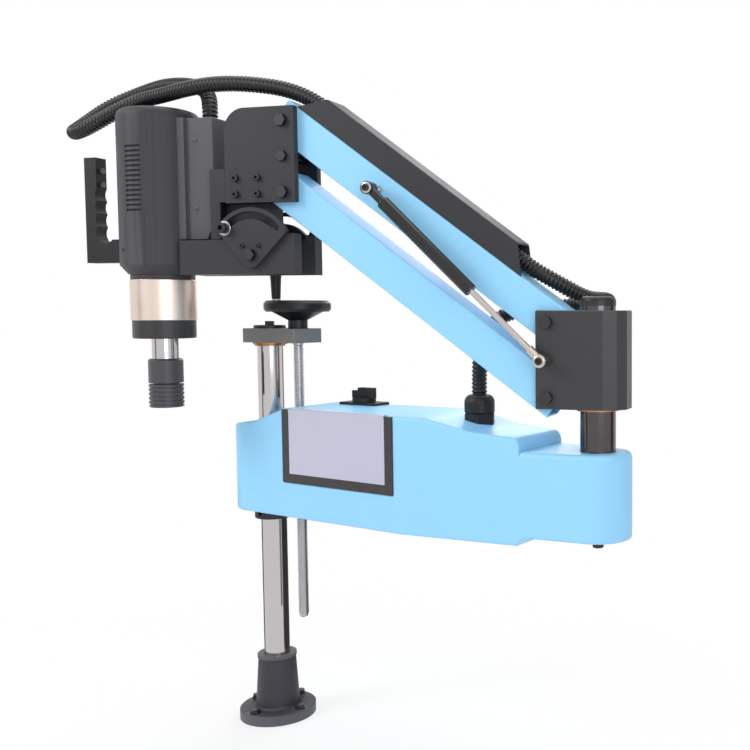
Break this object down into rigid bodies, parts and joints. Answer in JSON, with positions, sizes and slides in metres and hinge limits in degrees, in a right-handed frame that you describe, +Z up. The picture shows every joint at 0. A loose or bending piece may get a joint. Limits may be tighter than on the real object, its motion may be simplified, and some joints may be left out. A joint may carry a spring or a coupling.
{
  "type": "arm tapping machine",
  "caption": "Swing-arm tapping machine: column on a bench flange, lifting housing with a screen, parallelogram arm with gas spring, and a tilting motor head with a quick-change chuck.",
  "frame": {"origin": "centre of the bench flange's underside, on the column's axis", "axes": "+Z up along the column; +X along the lower arm towards its swivel shaft; the screen faces -Y"},
  "size_m": [1.1209, 0.4091, 1.2799],
  "materials": {
    "black_satin": "satin",
    "blue_paint": "gloss",
    "motor_grey": "matte",
    "steel": "satin",
    "chrome": "polished",
    "bronze": "satin",
    "cast_black": "satin",
    "ring_silver": "satin",
    "black_plastic": "matte",
    "gloss_black": "gloss",
    "screen_film": "satin",
    "hose_black": "satin"
  },
  "bodies": {
    "stand": {"base_flange": "cast_black", "base_bolts": "black_satin", "column": "chrome", "thrust_ring": "bronze", "column_cap": "black_satin"},
    "top_bracket": {"top_plate": "black_satin", "top_bush": "bronze"},
    "lift_screw": {"lead_screw": "steel", "handwheel": "gloss_black", "grip_pin": "steel"},
    "wheel_grip": {"wheel_grip": "gloss_black"},
    "lower_arm": {"arm_housing": "blue_paint", "base_cover": "blue_paint", "arm_bushes": "bronze", "column_collar": "black_satin", "lift_nut": "bronze", "screen_bezel": "black_satin", "screen_glass": "screen_film", "switch_base": "black_plastic", "gland_body": "black_plastic", "gland_nut": "black_plastic", "swivel_shaft": "chrome", "shaft_cap": "black_satin", "shaft_bolt": "black_satin"},
    "rotary_knob": {"rotary_knob": "black_plastic"},
    "swing_block": {"pivot_block": "black_satin", "block_bushes": "bronze", "block_pins": "black_satin", "spring_stud_low": "steel", "hose_link": "hose_black"},
    "upper_link": {"upper_tube": "blue_paint", "arm_cover": "black_satin", "spring_stud_top": "steel", "hose_head": "hose_black"},
    "lower_link": {"lower_tube": "blue_paint"},
    "gas_cylinder": {"spring_cylinder": "black_satin"},
    "gas_rod": {"spring_rod": "chrome"},
    "head_bracket": {"bracket_front": "black_satin", "bracket_rear": "black_satin", "bracket_spacer": "black_satin", "bracket_pins": "black_satin", "head_yoke": "black_satin", "yoke_screws": "black_satin", "clamp_bolt": "black_satin", "tilt_pin": "black_satin"},
    "tilt_head": {"motor_mount": "black_satin", "sector_front": "black_satin", "sector_rear": "black_satin", "motor_body": "motor_grey", "gearbox_ring": "ring_silver", "nose_ring": "black_satin", "terminal_box": "motor_grey", "head_screws": "black_satin", "handle": "black_satin"},
    "spindle": {"spindle": "chrome", "chuck_body": "black_satin"},
    "chuck_sleeve": {"chuck_sleeve": "black_satin"},
    "button_run": {"button_run": "steel"},
    "button_reverse": {"button_reverse": "steel"}
  },
  "joints": [
    {"name": "column_swivel", "type": "hinge", "parent": "stand", "child": "top_bracket", "pos_m": [0, 0, 0.777], "axis": [0, 0, 1], "range_deg": [-170, 170]},
    {"name": "arm_lift", "type": "slide", "parent": "top_bracket", "child": "lower_arm", "axis": [0, 0, 1], "range_m": [-0.21, 0.1]},
    {"name": "screw_turn", "type": "hinge", "parent": "top_bracket", "child": "lift_screw", "pos_m": [0.077, 0, 0.8], "axis": [0, 0, 1], "range_deg": [-18909, 9009]},
    {"name": "grip_spin", "type": "hinge", "parent": "lift_screw", "child": "wheel_grip", "pos_m": [0.03005, -0.00998, 0.88], "axis": [0, 0, 1], "continuous": true},
    {"name": "arm_swing", "type": "hinge", "parent": "lower_arm", "child": "swing_block", "pos_m": [0.753, 0, 0.745], "axis": [0, 0, -1], "range_deg": [-165, 1], "deforming": ["hose_link"]},
    {"name": "arm_raise", "type": "hinge", "parent": "swing_block", "child": "upper_link", "pos_m": [0.67901, -0.01735, 0.807], "axis": [-0.2284, 0.9736, 0], "range_deg": [-25, 12], "deforming": ["hose_link", "hose_head"]},
    {"name": "lower_raise", "type": "hinge", "parent": "swing_block", "child": "lower_link", "pos_m": [0.67901, -0.01735, 0.6835], "axis": [-0.2284, 0.9736, 0], "range_deg": [-25.1, 12.1]},
    {"name": "head_level", "type": "hinge", "parent": "upper_link", "child": "head_bracket", "pos_m": [0.20994, -0.12737, 1.15614], "axis": [-0.2284, 0.9736, 0], "range_deg": [-12.1, 25.1]},
    {"name": "gas_swing", "type": "hinge", "parent": "upper_link", "child": "gas_cylinder", "pos_m": [0.39406, -0.14582, 1.03214], "axis": [-0.2284, 0.9736, 0], "range_deg": [-1.1, 2.2]},
    {"name": "gas_extend", "type": "slide", "parent": "gas_cylinder", "child": "gas_rod", "axis": [0.707, 0.1658, -0.6875], "range_m": [-0.0225, 0.0112]},
    {"name": "head_tilt", "type": "hinge", "parent": "head_bracket", "child": "tilt_head", "pos_m": [0.15152, -0.14108, 0.924], "axis": [-0.2284, 0.9736, 0], "range_deg": [-50, 0], "deforming": ["hose_head"]},
    {"name": "spindle_spin", "type": "hinge", "parent": "tilt_head", "child": "spindle", "pos_m": [-0.06578, -0.19204, 0.77], "axis": [0, 0, 1], "continuous": true},
    {"name": "sleeve_slide", "type": "slide", "parent": "spindle", "child": "chuck_sleeve", "axis": [0, 0, 1], "range_m": [0, 0.0025], "stiffness_N_per_m": 600, "springref_m": -0.006},
    {"name": "run_press", "type": "slide", "parent": "tilt_head", "child": "button_run", "axis": [-0.9736, -0.2284, 0], "range_m": [0, 0.003], "stiffness_N_per_m": 300, "springref_m": -0.001},
    {"name": "reverse_press", "type": "slide", "parent": "tilt_head", "child": "button_reverse", "axis": [-0.9736, -0.2284, 0], "range_m": [0, 0.003], "stiffness_N_per_m": 300, "springref_m": -0.001},
    {"name": "mode_knob", "type": "hinge", "parent": "lower_arm", "child": "rotary_knob", "pos_m": [0.192, 0.058, 0.66], "axis": [0, 0, -1], "range_deg": [0, 90]}
  ],
  "couplings": [
    {"joint": "screw_turn", "follows": "arm_lift", "rad_per_m": 1570.8},
    {"joint": "lower_raise", "follows": "arm_raise", "ratio": 1},
    {"joint": "head_level", "follows": "arm_raise", "ratio": -1},
    {"joint": "gas_swing", "follows": "arm_raise", "ratio": -0.083},
    {"joint": "gas_extend", "follows": "arm_raise", "m_per_rad": 0.0506}
  ]
}
